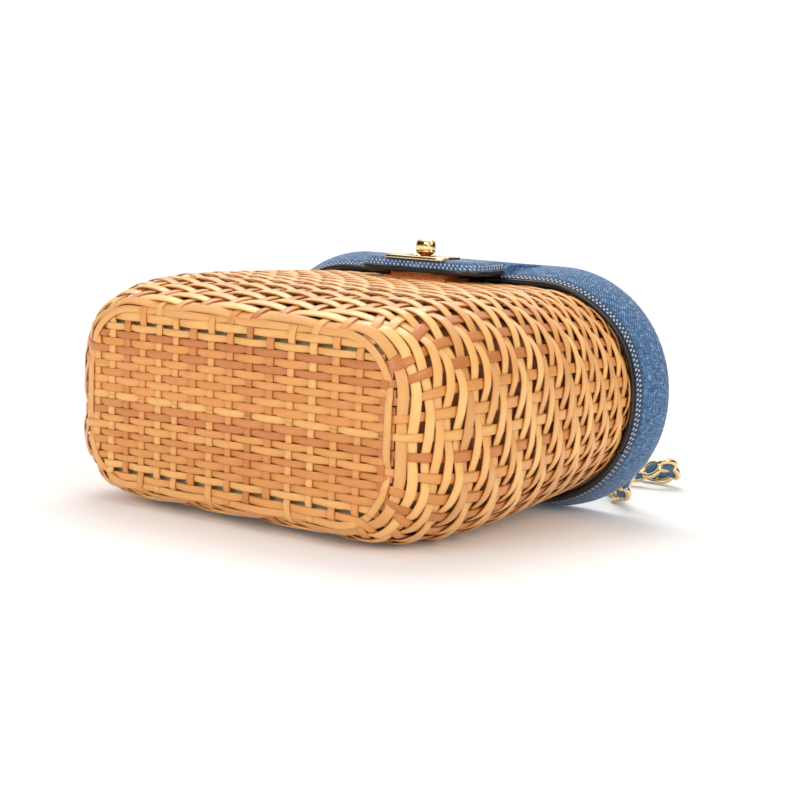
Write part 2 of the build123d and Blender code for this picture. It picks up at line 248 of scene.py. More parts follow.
# all sockets are plain numbers
def newGroup(name, inputs, outputs):
    group = bpy.data.node_groups.new(name, "ShaderNodeTree")
    for label, value in inputs.items():
        socket = group.interface.new_socket(label, in_out="INPUT", socket_type="NodeSocketFloat")
        socket.default_value = value
    for label in outputs:
        group.interface.new_socket(label, in_out="OUTPUT", socket_type="NodeSocketFloat")
    return group, group.nodes.new("NodeGroupInput"), group.nodes.new("NodeGroupOutput")


# cane noises: steps per metre along the strand and across it, detail, roughness
caneLook = {"strandShift": 7.3, "fibre": (60.0, 1900.0, 4.0, 0.6), "blotch": (75.0, 140.0, 3.0, 0.55),
            "spot": (260.0, 700.0, 2.0, 0.7), "fibreFrom": 0.42, "fibreGain": 1.7, "blotchFrom": 0.45,
            "blotchGain": 2.3, "spotFrom": 0.70, "spotGain": 9.0, "edgePower": 4.0, "edgeShare": 0.35,
            "markShare": 0.7, "mark": tint(0.42, 0.24, 0.13), "roughGain": 0.30, "roughLow": 0.30,
            "bump": 0.25, "bumpDistance": 0.0002, "coat": 0.45, "coatRough": 0.24}


# cane grain: fibres run along the strand, u is length in metres and v is across it
def buildCaneGrain():
    group, source, sink = newGroup("caneGrain", {"Strand": 0.0}, ("Fibres", "Blotch", "Marks", "Edge"))
    u, v = uvParts(group)
    shift = maths(group, "MULTIPLY", source.outputs["Strand"], caneLook["strandShift"])
    along = maths(group, "ADD", u, shift)
    fibres = streakNoise(group, along, v, *caneLook["fibre"])
    blotch = streakNoise(group, along, v, *caneLook["blotch"])
    spots = streakNoise(group, along, v, *caneLook["spot"])
    marks = past(group, spots, caneLook["spotFrom"], caneLook["spotGain"])
    fromMiddle = maths(group, "SUBTRACT", maths(group, "MULTIPLY", v, 2 / ribbon["uvBreadth"]), 1.0)
    edge = maths(group, "POWER", maths(group, "ABSOLUTE", fromMiddle), caneLook["edgePower"])
    for label, value in (("Fibres", fibres), ("Blotch", blotch), ("Marks", marks), ("Edge", edge)):
        group.links.new(value, sink.inputs[label])
    return group


caneGrain = buildCaneGrain()


# cane: a tone per strand from its own attribute, darkened by fibres, blotches and edges, with small marks
def caneMaterial(name, tones, fibreTint, blotchTint, edgeTint):
    coat = {"Coat Weight": caneLook["coat"], "Coat Roughness": caneLook["coatRough"]}
    material, tree, shader = newMaterial(name, **coat)
    strand = addNode(tree, "ShaderNodeAttribute", attribute_name="strand")
    grain = addNode(tree, "ShaderNodeGroup", node_tree=caneGrain)
    tree.links.new(strand.outputs["Fac"], grain.inputs["Strand"])
    fibres = grain.outputs["Fibres"]
    colour = ramp(tree, strand.outputs["Fac"], tones)
    darker = (
        (past(tree, fibres, caneLook["fibreFrom"], caneLook["fibreGain"]), fibreTint),
        (past(tree, grain.outputs["Blotch"], caneLook["blotchFrom"], caneLook["blotchGain"]), blotchTint),
        (maths(tree, "MULTIPLY", grain.outputs["Edge"], caneLook["edgeShare"], True), edgeTint))
    for share, darkTint in darker:
        colour = mixColour(tree, share, colour, darkTint, "MULTIPLY")
    marked = maths(tree, "MULTIPLY", grain.outputs["Marks"], caneLook["markShare"], True)
    colour = mixColour(tree, marked, colour, caneLook["mark"])
    tree.links.new(colour, shader.inputs["Base Color"])
    rough = linear(tree, fibres, caneLook["roughGain"], caneLook["roughLow"])
    tree.links.new(rough, shader.inputs["Roughness"])
    addBump(tree, shader, fibres, caneLook["bump"], caneLook["bumpDistance"])
    return material


canePale = caneMaterial(
    "canePale",
    [(0.0, tint(0.86, 0.62, 0.36)), (0.3, tint(0.96, 0.72, 0.42)), (0.7, tint(0.99, 0.79, 0.49)),
     (1.0, tint(0.92, 0.66, 0.36))],
    (0.86, 0.76, 0.62, 1), (0.92, 0.80, 0.64, 1), (0.55, 0.36, 0.22, 1))
caneTan = caneMaterial(
    "caneTan",
    [(0.0, tint(0.77, 0.47, 0.20)), (0.25, tint(0.88, 0.60, 0.30)), (0.55, tint(0.93, 0.71, 0.41)),
     (0.8, tint(0.88, 0.59, 0.29)), (1.0, tint(0.76, 0.45, 0.19))],
    (0.84, 0.72, 0.56, 1), (0.88, 0.72, 0.55, 1), (0.52, 0.32, 0.19, 1))

# denim noises: steps per metre along u and v, detail, roughness; lines are twill lines per metre
denimLook = {"lines": 760.0, "warp": (1150.0, 360.0, 3.0, 0.6), "weft": (340.0, 1150.0, 3.0, 0.6),
             "cloud": (330.0, 330.0, 4.0, 0.6), "warpShare": 0.52, "weftShare": 0.38, "cloudShare": 0.10,
             "twillShare": 0.11, "twillHeight": 0.5, "warpHeight": 0.6, "rough": 0.85, "sheen": 0.25,
             "sheenRough": 0.5, "bump": 0.35, "bumpDistance": 0.0003,
             "tones": [(0.38, tint(0.06, 0.17, 0.32)), (0.50, tint(0.15, 0.31, 0.49)),
                       (0.61, tint(0.29, 0.45, 0.62)), (0.73, tint(0.62, 0.73, 0.83))]}


# denim: two thread directions, soft clouds and twill lines on the diagonal, uv in metres
def buildDenimTwill():
    group, source, sink = newGroup("denimTwill", {"Lines": denimLook["lines"]}, ("Tone", "Height"))
    u, v = uvParts(group)
    warp = streakNoise(group, u, v, *denimLook["warp"])
    weft = streakNoise(group, u, v, *denimLook["weft"])
    cloud = streakNoise(group, u, v, *denimLook["cloud"])
    diagonal = weighted(group, (u, source.outputs["Lines"]), (v, source.outputs["Lines"]))
    twill = linear(group, maths(group, "SINE", maths(group, "MULTIPLY", diagonal, 2 * math.pi)), 0.5, 0.5)
    tone = weighted(group, (warp, denimLook["warpShare"]), (weft, denimLook["weftShare"]),
                    (cloud, denimLook["cloudShare"]), (twill, denimLook["twillShare"]))
    height = weighted(group, (twill, denimLook["twillHeight"]), (warp, denimLook["warpHeight"]))
    group.links.new(tone, sink.inputs["Tone"])
    group.links.new(height, sink.inputs["Height"])
    return group


denimTwill = buildDenimTwill()

# stitches along a border, in millimetres from the border and along it, lying in a band of painted shade where
# the border rolls under
stitch = {"rowSplit": 1.45, "rowGap": 1.2, "firstRow": 0.85, "halfWide": 0.54, "pitch": 1.9, "stagger": 0.5,
          "slant": 0.2, "halfLong": 0.24, "sharp": 2.5, "share": 0.8, "thread": tint(0.76, 0.81, 0.86),
          "paintedShadeReach": 4.4, "paintedShadeGain": 0.5, "paintedShadeLid": 0.56, "paintedShadeLow": 0.24,
          "paintedShade": tint(0.07, 0.11, 0.20)}


# two rows of slanted ovals: across counts half widths from a row's line, down half lengths from a middle
def addStitches(tree, colour):
    away, along, shade = (addNode(tree, "ShaderNodeAttribute", attribute_name=name).outputs["Fac"]
                          for name in ("borderAway", "borderAlong", "borderShade"))
    row = maths(tree, "GREATER_THAN", away, stitch["rowSplit"])
    rowLine = linear(tree, row, stitch["rowGap"], stitch["firstRow"])
    across = maths(tree, "DIVIDE", maths(tree, "SUBTRACT", away, rowLine), stitch["halfWide"])
    lean = weighted(tree, (row, stitch["stagger"]), (away, stitch["slant"]))
    phase = maths(tree, "FRACT", maths(tree, "ADD", maths(tree, "DIVIDE", along, stitch["pitch"]), lean))
    down = maths(tree, "DIVIDE", maths(tree, "SUBTRACT", phase, 0.5), stitch["halfLong"])
    apart = weighted(tree, (across, across), (down, down))
    mask = maths(tree, "MULTIPLY", maths(tree, "SUBTRACT", 1.0, apart), stitch["sharp"], True)
    # painted shade: darker denim near the border, strongest on the lid where borderShade is 1
    near = maths(tree, "SUBTRACT", stitch["paintedShadeReach"], away)
    paintedShade = maths(tree, "MULTIPLY", near, stitch["paintedShadeGain"], True)
    paintedShade = maths(tree, "MULTIPLY", paintedShade, linear(tree, shade, stitch["paintedShadeLid"], stitch["paintedShadeLow"]))
    colour = mixColour(tree, paintedShade, colour, stitch["paintedShade"])
    return mixColour(tree, maths(tree, "MULTIPLY", mask, stitch["share"], True), colour, stitch["thread"])


# denim colour by thread tone, with stitches if asked
def denimMaterial(name, stitched):
    sheen = {"Sheen Weight": denimLook["sheen"], "Sheen Roughness": denimLook["sheenRough"]}
    material, tree, shader = newMaterial(name, Roughness=denimLook["rough"], **sheen)
    cloth = addNode(tree, "ShaderNodeGroup", node_tree=denimTwill)
    cloth.inputs["Lines"].default_value = denimLook["lines"]
    colour = ramp(tree, cloth.outputs["Tone"], denimLook["tones"])
    if stitched:
        colour = addStitches(tree, colour)
    tree.links.new(colour, shader.inputs["Base Color"])
    addBump(tree, shader, cloth.outputs["Height"], denimLook["bump"], denimLook["bumpDistance"])
    return material


denimEdged = denimMaterial("denimEdged", True)
denimPlain = denimMaterial("denimPlain", False)

finish = {"detail": 5.0, "roughness": 0.6, "lowStop": 0.3, "highStop": 0.7, "bump": 0.3}


# a finish that varies by soft noise on object coordinates
def noiseMaterial(name, low, high, scale, rough, bumpDistance, **plain):
    material, tree, shader = newMaterial(name, **plain)
    place = addNode(tree, "ShaderNodeTexCoord")
    noise = addNode(tree, "ShaderNodeTexNoise",
                    {"Scale": scale, "Detail": finish["detail"], "Roughness": finish["roughness"]})
    tree.links.new(place.outputs["Object"], noise.inputs["Vector"])
    colour = ramp(tree, noise.outputs[0], [(finish["lowStop"], low), (finish["highStop"], high)])
    tree.links.new(colour, shader.inputs["Base Color"])
    tree.links.new(linear(tree, noise.outputs[0], rough[1] - rough[0], rough[0]), shader.inputs["Roughness"])
    addBump(tree, shader, noise.outputs[0], finish["bump"], bumpDistance)
    return material


edgePaint = noiseMaterial("edgePaint", tint(0.03, 0.03, 0.05), tint(0.08, 0.08, 0.11),
                          900.0, (0.28, 0.45), 0.0001, **{"Coat Weight": 0.3})
paleGold = noiseMaterial("paleGold", tint(0.94, 0.82, 0.59), tint(0.97, 0.87, 0.67),
                         300.0, (0.10, 0.20), 0.00002, Metallic=1.0)
tanLeather = noiseMaterial("tanLeather", tint(0.70, 0.38, 0.16), tint(0.82, 0.48, 0.22),
                           700.0, (0.45, 0.6), 0.0001)
liningCloth = noiseMaterial("liningCloth", tint(0.74, 0.69, 0.58), tint(0.84, 0.79, 0.68),
                            1400.0, (0.85, 0.95), 0.0002)
fibreBoard = noiseMaterial("fibreBoard", tint(0.45, 0.41, 0.36), tint(0.55, 0.50, 0.44),
                           600.0, (0.8, 0.95), 0.0001)

# metres along the laid bag: the base's lining lies before baseEnd; the wall colour is a brown of painted
# shade for the gaps between strands
liningLook = {"baseEnd": -0.0795, "gain": 900.0, "base": tint(1.0, 0.97, 0.88),
              "wall": tint(0.62, 0.40, 0.23)}


# lining behind the weave: greyish beige under the base, and behind the walls a brown of painted shade that
# darkens the gaps between strands, by the place along the bag
def basketLiningMaterial():
    material = liningCloth.copy()
    material.name = "basketLiningShaded"
    tree = material.node_tree
    shader = tree.nodes["Principled BSDF"]
    beige = shader.inputs["Base Color"].links[0].from_socket
    place = addNode(tree, "ShaderNodeTexCoord")
    split = addNode(tree, "ShaderNodeSeparateXYZ")
    tree.links.new(place.outputs["Object"], split.inputs[0])
    # past the base the beige lining is painted brown as shade
    upWall = past(tree, split.outputs[1], liningLook["baseEnd"], liningLook["gain"])
    under = mixColour(tree, 1.0, beige, liningLook["base"], "MULTIPLY")
    tree.links.new(mixColour(tree, upWall, under, liningLook["wall"]), shader.inputs["Base Color"])
    return material


basketLiningShaded = basketLiningMaterial()


def dress(obj, body, replaced=()):
    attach(obj, body)
    if replaced:
        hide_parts(*replaced)
    return obj


print("materials ready")

# basket shape, as the frame has it: outlines are width, depth and corner; the weave's middle lies below them
basket = {"base": (132.0, 66.0, 20.0), "belly": (166.0, 85.0, 30.0), "rim": (172.6, 80.6, 39.8),
          "bellyHeight": 49.0, "skirtHeight": 133.5, "top": 146.0, "tuck": 2.6, "curve": 1.5, "middle": 1.2,
          "lowSteps": 900, "highSteps": 600, "edgeSteps": 8001, "nearQ": 0.004, "nearS": 0.4}


# outline sizes at a height: a quarter ellipse from base to belly, an easy curve to the rim, a straight tuck
def wallSize(h):
    base, belly, rim = (np.array(basket[k]) for k in ("base", "belly", "rim"))
    bellyHeight, skirtHeight = basket["bellyHeight"], basket["skirtHeight"]
    h = np.asarray(h, float)[..., None]
    low = np.sqrt(np.clip(1 - (1 - np.clip(h / bellyHeight, 0, 1)) ** 2, 0, 1))
    share = np.clip((h - bellyHeight) / (skirtHeight - bellyHeight), 0, 1) ** basket["curve"]
    tuck = basket["tuck"] * np.clip((h - skirtHeight) / (basket["top"] - skirtHeight), 0, None)
    return base + (belly - base) * low + (rim - belly) * share - tuck * np.array([2, 2, 1])


# rounded rectangle at q, which counts quarters of its length from the middle of the front round by the right
def outlinePoint(q, width, depth, corner):
    q = np.mod(q, 4)
    quarter = np.floor(q).astype(int)
    part = q - quarter
    part = np.where(quarter % 2 == 1, 1 - part, part)
    a, b = width / 2 - corner, depth / 2 - corner
    arc = np.pi * corner / 2
    run = part * (a + arc + b)
    angle = np.clip((run - a) / np.maximum(corner, 1e-9), 0, np.pi / 2)
    x = np.minimum(run, a) + corner * np.sin(angle)
    y = -depth / 2 + corner * (1 - np.cos(angle)) + np.clip(run - a - arc, 0, None)
    signX = np.where((quarter == 0) | (quarter == 1), 1, -1)
    signY = np.where((quarter == 0) | (quarter == 3), 1, -1)
    return signX * x, signY * y


lowHeights = np.linspace(0, 1, basket["lowSteps"]) ** 2 * basket["bellyHeight"]
highHeights = np.linspace(basket["bellyHeight"], basket["top"], basket["highSteps"])[1:]
heightTable = np.concatenate([lowHeights, highHeights])
lengthTable = runLength(np.stack([heightTable, wallSize(heightTable)[:, 0] / 2], -1))
wallLength = lengthTable[-1]
toMiddle = basket["middle"] * np.array([2, 2, 1])


# point on the basket's middle surface: s is the length up the wall from the base edge
def wallPoint(q, s):
    h = np.interp(s, lengthTable, heightTable)
    size = wallSize(h) - toMiddle
    x, y = outlinePoint(q, size[..., 0], size[..., 1], size[..., 2])
    return np.stack(np.broadcast_arrays(x, y, h), -1)


def wallNormal(q, s):
    nearQ, nearS = basket["nearQ"], basket["nearS"]
    stepQ = wallPoint(q + nearQ, s) - wallPoint(q - nearQ, s)
    stepS = wallPoint(q, np.minimum(s + nearS, wallLength)) - wallPoint(q, np.maximum(s - nearS, 0))
    return unit(np.cross(stepQ, stepS))


# the base outline as a fine table
edgeQ = np.linspace(0, 4, basket["edgeSteps"])
edgeX, edgeY = outlinePoint(edgeQ, *(np.array(basket["base"]) - toMiddle))


# where a straight strand at a place on one axis meets the base outline, on the side that its sign names
def exitIndex(axis, place, side):
    level, outward = (edgeX, edgeY) if axis == "x" else (edgeY, edgeX)
    return np.argmin(np.where(outward * side > 0, np.abs(level - place), np.inf))


# weave of the base: strips run front to rear and widen their pitch, rows run side to side
weave = {"strips": 16, "stripFirst": -62.4, "stripPitch": 7.0, "stripGrow": 0.0965, "rows": 21,
         "rowReach": 25.2, "borderRow": 29.2, "frontStakes": 13, "endStakes": 14, "seamQ": 3.95,
         "spread": 26.0, "thick": 0.75, "twillFlat": 0.4, "plainFlat": 0.5}
stripIndex = np.arange(weave["strips"])
stripWiden = weave["stripGrow"] * stripIndex * (stripIndex - 1)
stripX = weave["stripFirst"] + weave["stripPitch"] * stripIndex + stripWiden
innerRows = np.linspace(-weave["rowReach"], weave["rowReach"], weave["rows"] - 2)
rowY = np.concatenate([[-weave["borderRow"]], innerRows, [weave["borderRow"]]])


# place along a line of strands counted in strands, whole numbers on the strands, straight between and beyond
def strandCount(place, lines):
    count = np.arange(len(lines))
    low = count[0] + (place - lines[0]) / (lines[1] - lines[0])
    high = count[-1] + (place - lines[-1]) / (lines[-1] - lines[-2])
    inner = np.interp(place, lines, count)
    return np.where(place < lines[0], low, np.where(place > lines[-1], high, inner))


# a wave from -1 to 1 with flattened tops
def flattened(wave, share):
    return wave * (1 + share - share * wave * wave)


# two over, two under: positive where the stake lies outside the weaver
def twillSway(steps):
    return flattened(np.cos(np.pi / 2 * (steps - 0.5)), weave["twillFlat"])


# stakes round the basket as axis, place and side of the base strand they carry on; two start at the edge
half = weave["strips"] // 2
stakeBase = ([("x", x, -1) for x in stripX[half:]] + [("y", y, 1) for y in rowY[::2]] + [None]
             + [("x", x, 1) for x in stripX[::-1]] + [None] + [("y", y, -1) for y in rowY[::-2]]
             + [("x", x, -1) for x in stripX[:half]])
stakeCount = len(stakeBase)
stakeStart = [None if base is None else edgeQ[exitIndex(*base)] for base in stakeBase]
for i, base in enumerate(stakeBase):
    if base is None:
        stakeStart[i] = (stakeStart[i - 1] + stakeStart[i + 1]) / 2
# a start just left of the middle counts below zero, and the order round the outline is that of the starts
stakeStart = np.array(stakeStart)
stakeStart = np.where(stakeStart > weave["seamQ"], stakeStart - 4, stakeStart)
order = np.argsort(stakeStart)
stakeStart = stakeStart[order]
stakeBase = [stakeBase[i] for i in order]
frontEven = (np.arange(weave["frontStakes"]) + 0.5) / (weave["frontStakes"] + 0.5)
endEven = 1 + np.arange(1, weave["endStakes"] + 1) / (weave["endStakes"] + 0.5)
rightEven = np.concatenate([frontEven, [1.0], endEven])
stakeEven = np.concatenate([rightEven, 4 - rightEven[::-1]])


# stake places drift from their base exits to even spacing over the first stretch of wall
def stakeQ(s):
    share = smoothStep(0, weave["spread"], np.asarray(s, float))[..., None]
    return stakeStart + (stakeEven - stakeStart) * share


# values at the stakes carried on past both ends of the round, which adds turn each time
def carriedOn(values, turn):
    return np.concatenate([values[-1:] - turn, values, values[:2] + turn])


# weavers: rings up the wall that sway against the stakes; pairs of numbers are first and last ring of an ease
weaver = {"count": 44, "low": 22, "tightPitch": 2.7, "edgeLead": 1.9, "easeRings": (12, 29), "width": 3.75,
          "share": 1.12, "widthSpread": 0.06, "samples": 7, "wander": ((0.35, 5.1, 2.3), (0.22, 11.7, 4.1)),
          "wanderRings": (0, 2), "draw": 0.14, "drawShift": 2.5, "drawRings": (1, 5), "sway": 1.15,
          "edgeSway": 0.62, "swayRings": (0, 7), "edgeWidth": 2.7, "edgeTone": 0.12, "insideEvery": 5}
rings = np.arange(weaver["count"])
# their spacing eases to the tight pitch near the rim, and the sum fills the wall from the base edge
pitchShape = 1 - smoothStep(*weaver["easeRings"], rings)
spareLength = wallLength + weaver["edgeLead"] - weaver["tightPitch"] * weaver["count"]
weaverStep = weaver["tightPitch"] + spareLength / pitchShape.sum() * pitchShape
ringS = np.cumsum(weaverStep) - weaverStep / 2 - weaver["edgeLead"]
ringQ = 2 + np.linspace(0, 4, stakeCount * weaver["samples"] + 1)
stakeOrder = np.arange(-1, stakeCount + 2)
ringIndex = np.stack([np.interp(np.mod(ringQ, 4), carriedOn(q, 4), stakeOrder) for q in stakeQ(ringS)])
ringColumn = rings[:, None]
wander = sum(high * np.sin(ringQ * fast + ringColumn * shift) for high, fast, shift in weaver["wander"])
sGrid = ringS[:, None] + wander * smoothStep(*weaver["wanderRings"], ringColumn)
# two weavers under one stake draw together, and the floats spread
ringPhase = ringColumn - ringIndex
pairing = np.sin(np.pi / 2 * (ringPhase - weaver["drawShift"])) * smoothStep(*weaver["drawRings"], ringColumn)
sGrid = sGrid + weaver["draw"] * weaverStep[:, None] * pairing
qGrid = np.broadcast_to(ringQ[None], ringIndex.shape)
ringNormal = wallNormal(qGrid, sGrid)
swayShare = smoothStep(*weaver["swayRings"], ringColumn)
ringSway = weaver["sway"] * (weaver["edgeSway"] + (1 - weaver["edgeSway"]) * swayShare)
# at the two ends the first weaver lies outside most stakes, as the rows end under it, and inside every fifth
fromStrip = np.array([base is not None and base[0] == "x" for base in stakeBase])
outside = np.where(np.arange(stakeCount) % weaver["insideEvery"] > 0, 1.0, -1.0)
atEnd = np.where(fromStrip, 0.0, outside)
endShare = np.interp(ringIndex, stakeOrder, carriedOn(atEnd, 0)) * (ringColumn == 0)
ringWave = twillSway(ringPhase) * (1 - np.abs(endShare)) - endShare
ringPath = wallPoint(qGrid, sGrid) - ringNormal * (ringSway * ringWave)[..., None]
ringWidth = np.minimum(weaver["width"], weaver["share"] * weaverStep)
ringWidth = ringWidth * (1 + weaver["widthSpread"] * rng.standard_normal(weaver["count"]))
ringWidth[0] = weaver["edgeWidth"]
ringTone = rng.random(weaver["count"])
ringTone[0] = weaver["edgeTone"]
for name, part in (("weaversLow", slice(0, weaver["low"])), ("weaversHigh", slice(weaver["low"], None))):
    verts, faces, uv = ribbonArrays(
        ringPath[part], ringNormal[part], ringWidth[part, None], weave["thick"], caneSection)
    strand = np.repeat(ringTone[part], verts.shape[1] * verts.shape[2])
    piece = makeMesh(name, laid(verts), faces, canePale, uv, {"strand": strand})
    dress(piece, "basket", ["wicker_basket"] if name == "weaversLow" else [])
    print(name, len(faces) * 2, "triangles")

# stakes and the base strands they carry on: widths and sways on the wall, and on the base by axis
stake = {"step": 1.25, "width": 3.7, "sway": 0.28, "baseWidth": {"x": 3.0, "y": 2.75},
         "baseSway": {"x": 0.42, "y": 0.55}, "underRings": (0.25, 0.75), "cornerEase": 3, "swayEase": 1,
         "widen": (4, 30), "widthSpread": 0.07}
wallS = np.arange(0, wallLength, stake["step"])
wallRing = strandCount(wallS, ringS)


# a stake runs over the base from its middle, round the edge and up the wall
def stakePath(index):
    q = stakeQ(wallS)[:, index]
    wall, wallN = wallPoint(q, wallS), wallNormal(q, wallS)
    under = atEnd[index] * (1 - smoothStep(*stake["underRings"], wallRing))
    sway = twillSway(wallRing - index) * (1 - np.abs(under)) - under
    if stakeBase[index] is None:
        return wall, wallN, sway
    axis, place, side = stakeBase[index]
    crossed, own, reach = (rowY, stripX, wall[0][1]) if axis == "x" else (stripX, rowY, wall[0][0])
    run = np.arange(0, abs(reach), stake["step"]) * side
    still = np.full(len(run), place)
    floorPath = np.stack([still, run, 0 * run] if axis == "x" else [run, still, 0 * run], -1)
    wave = np.cos(np.pi * (strandCount(run, crossed) + int(np.argmin(np.abs(own - place)))))
    floorSway = -wave if axis == "x" else flattened(wave, weave["plainFlat"])
    floorNormal = np.broadcast_to([0.0, 0.0, -1.0], floorPath.shape)
    pairs = ((floorPath, wall), (floorNormal, wallN), (floorSway, sway))
    return tuple(np.concatenate(pair) for pair in pairs)


# running mean along a line, ends kept
def eased(line, reach):
    padded = np.concatenate([np.repeat(line[:1], reach, 0), line, np.repeat(line[-1:], reach, 0)])
    total = np.cumsum(np.concatenate([np.zeros((1, line.shape[1])), padded]), 0)
    window = 2 * reach + 1
    return (total[window:] - total[:-window]) / window


# both stakes of one base strand share its tone
stakeTone = rng.random(stakeCount)
for i, base in enumerate(stakeBase):
    if base is not None and base[2] == 1:
        twin = stakeBase.index((*base[:2], -1))
        stakeTone[i] = stakeTone[twin]
fromRow = np.array([base is not None and base[0] == "y" for base in stakeBase])
for name, axis, chosen in (("stakes", "x", ~fromRow), ("sideStakes", "y", fromRow)):
    allVerts, allFaces, allUv, allStrand, used = [], [], [], [], 0
    for index in np.flatnonzero(chosen):
        path, normal, sway = stakePath(index)
        onWall = np.arange(len(path)) >= len(path) - len(wallS)
        path = np.concatenate([path[:1], eased(path, stake["cornerEase"])[1:-1], path[-1:]])
        normal = unit(eased(normal, stake["cornerEase"]))
        amount = sway * np.where(onWall, stake["sway"], stake["baseSway"][axis])
        path = path + normal * eased(amount[:, None], stake["swayEase"])
        baseWidth = stake["baseWidth"][axis]
        upWall = np.cumsum(onWall) * stake["step"]
        width = baseWidth + (stake["width"] - baseWidth) * smoothStep(*stake["widen"], upWall)
        width = width * (1 + stake["widthSpread"] * rng.standard_normal())
        v, f, t = ribbonArrays(path[None], normal[None], width[None], weave["thick"], caneSection)
        allVerts.append(v.reshape(-1, 3))
        allFaces.append(f + used)
        allUv.append(t.reshape(-1, 2))
        allStrand.append(np.full(len(allVerts[-1]), stakeTone[index]))
        used += len(allVerts[-1])
    verts, faces, uv, strand = (np.concatenate(lists) for lists in (allVerts, allFaces, allUv, allStrand))
    piece = makeMesh(name, laid(verts), faces, caneTan, uv, {"strand": strand})
    dress(piece, "basket")
    print(name, len(faces) * 2, "triangles")

# the rows between, which end under the first weaver and rise there
row = {"steps": 150, "over": 2.0, "liftBack": 4.0, "liftLong": 6, "lift": 1.4, "widthSpread": 0.06}
oddRows = np.arange(1, weave["rows"], 2)
rowEnd = np.abs(edgeX[[exitIndex("y", y, 1) for y in rowY[oddRows]]])
x = np.linspace(-1, 1, row["steps"]) * (rowEnd + row["over"])[:, None]
wave = np.cos(np.pi * (strandCount(x, stripX) + oddRows[:, None]))
sway = flattened(wave, weave["plainFlat"]) * stake["baseSway"]["y"]
lift = smoothStep(0, row["liftLong"], np.abs(x) - (rowEnd - row["liftBack"])[:, None]) * row["lift"]
path = np.stack(np.broadcast_arrays(x, rowY[oddRows][:, None], -sway + lift), -1)
normal = np.broadcast_to([0.0, 0.0, -1.0], path.shape)
width = stake["baseWidth"]["y"] * (1 + row["widthSpread"] * rng.standard_normal(len(oddRows)))[:, None]
verts, faces, uv = ribbonArrays(path, normal, width, weave["thick"], caneSection)
strand = np.repeat(rng.random(len(oddRows)), verts.shape[1] * verts.shape[2])
baseRows = makeMesh("baseRows", laid(verts), faces, caneTan, uv, {"strand": strand})
dress(baseRows, "basket")
print("base rows", len(faces) * 2, "triangles")

# lid shape, as the frame has it
lid = {"width": 188.0, "depth": 96.0, "corner": 47.5, "flareSide": 6.0, "flareFront": 3.6, "top": 157.0,
       "round": 6.0, "skirt": 133.5, "seam": 20.0, "seamGap": 0.25, "under": 153.5, "crown": 1.6,
       "columns": 360, "skirtRows": 12, "roundRows": 9, "topRows": 25, "drawFront": 1.8,
       "drawFrom": 18.0, "drawTo": 42.0, "pullPower": 0.9, "edgeHeight": 1.3, "edgeShare": 0.6}


# lid outline at an inset from its widest size, at the sides and at the front
def lidOutline(q, side, front):
    corner = lid["corner"] - (side + front) / 2
    return outlinePoint(q, lid["width"] - 2 * side, lid["depth"] - 2 * front, corner)


# the skirt's lower border is drawn in across the front
def drawnIn(y, share):
    return y + lid["drawFront"] * share * smoothStep(lid["drawFrom"], lid["drawTo"], -y)


# how far the skirt is pulled in at a height: wholly at its border, a sine's curve up to none at the shoulder
def pullIn(z):
    rise = np.clip((z - lid["skirt"]) / (lid["top"] - lid["round"] - lid["skirt"]), 0, 1)
    return 1 - np.sin(rise * np.pi / 2) ** lid["pullPower"]


# skirt and shoulder: rows from the border up to the shoulder, then a quarter circle
lidQ = np.linspace(0, 4, lid["columns"] + 1) + 2.0
skirtLow = lid["skirt"] + lid["edgeHeight"] * lid["edgeShare"]
skirtZ = np.linspace(skirtLow, lid["top"] - lid["round"], lid["skirtRows"])
pull = pullIn(skirtZ)
turnAngle = np.linspace(0, np.pi / 2, lid["roundRows"])[1:]
shoulder = lid["round"] * (1 - np.cos(turnAngle))
sideInset = np.concatenate([pull * lid["flareSide"], shoulder])
frontInset = np.concatenate([pull * lid["flareFront"], shoulder])
profileZ = np.concatenate([skirtZ, lid["top"] - lid["round"] + lid["round"] * np.sin(turnAngle)])
gridQ, gridSide = np.meshgrid(lidQ, sideInset)
lidX, lidY = lidOutline(gridQ, gridSide, frontInset[:, None])
lidY = drawnIn(lidY, np.concatenate([pull, 0 * shoulder])[:, None])
perimeter = np.broadcast_to(runLength(np.stack([lidX[0], lidY[0]], -1)), gridQ.shape)
profileRun = np.broadcast_to(runLength(np.stack([sideInset, profileZ], -1))[:, None], gridQ.shape)
shellVerts = np.stack([lidX, lidY, np.broadcast_to(profileZ[:, None], gridQ.shape)], -1)
shellUv = np.stack([perimeter, profileRun], -1) / 1000
# borderShade 1 gives the lid's border the full painted shade; the tongue carries no such attribute
shellExtra = {"borderAway": profileRun, "borderAlong": perimeter, "borderShade": np.ones(gridQ.shape)}
shellFaces = gridFaces(*gridQ.shape)
faceMiddle = shellVerts.reshape(-1, 3)[shellFaces].mean(1)
atRear = (faceMiddle[:, 1] > lid["seam"] + lid["seamGap"]) & (faceMiddle[:, 2] < lid["under"])
v, f, t, e = trimmed(shellVerts, shellFaces[~atRear], shellUv, shellExtra)
lidSkirt = makeMesh("lidSkirt", laid(v), f, denimEdged, t, e)
dress(lidSkirt, "lid", ["lid_cover", "lid_board"])
v, f, t, e = trimmed(shellVerts, shellFaces[atRear], shellUv, shellExtra)
rearSkirt = makeMesh("rearSkirt", laid(v), f, denimEdged, t, e)
dress(rearSkirt, "basket", ["rear_cover"])

